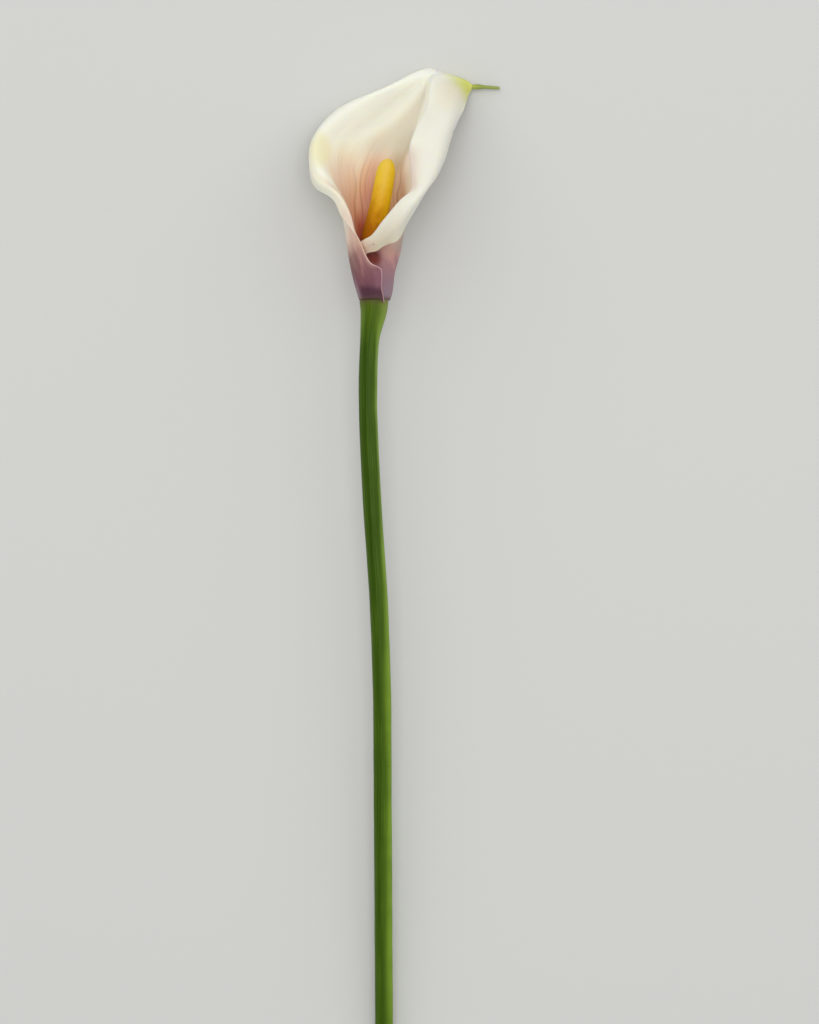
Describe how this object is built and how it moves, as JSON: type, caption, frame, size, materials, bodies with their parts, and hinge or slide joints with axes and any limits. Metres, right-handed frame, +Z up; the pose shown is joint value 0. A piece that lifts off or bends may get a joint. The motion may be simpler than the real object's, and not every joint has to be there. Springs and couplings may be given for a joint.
{
  "type": "calla lily",
  "caption": "Cut calla lily lying on its back: a cream spathe rolled to a purple funnel with a green tail, a yellow spadix inside it, and a smooth green stem.",
  "frame": {"origin": "on the surface that the flower lies on, below the middle of the whole flower's box", "axes": "+Y along the flower from its cut end towards the bloom, +Z up, out of the bloom's open side, +X to the bloom's right, where its tail points"},
  "size_m": [0.0836, 0.4532, 0.0449],
  "materials": {
    "stem": "smooth green stem with a soft waxy sheen, lighter at the neck",
    "spathe": "soft cream leaf that lets light through, pink to tan streaks in the throat, purple outside low down, yellow-green tip",
    "spadix": "dull yellow, finely pebbled, amber at its base"
  },
  "bodies": {
    "root": {"stem": "stem", "spathe": "spathe", "spadix": "spadix"}
  },
  "joints": []
}
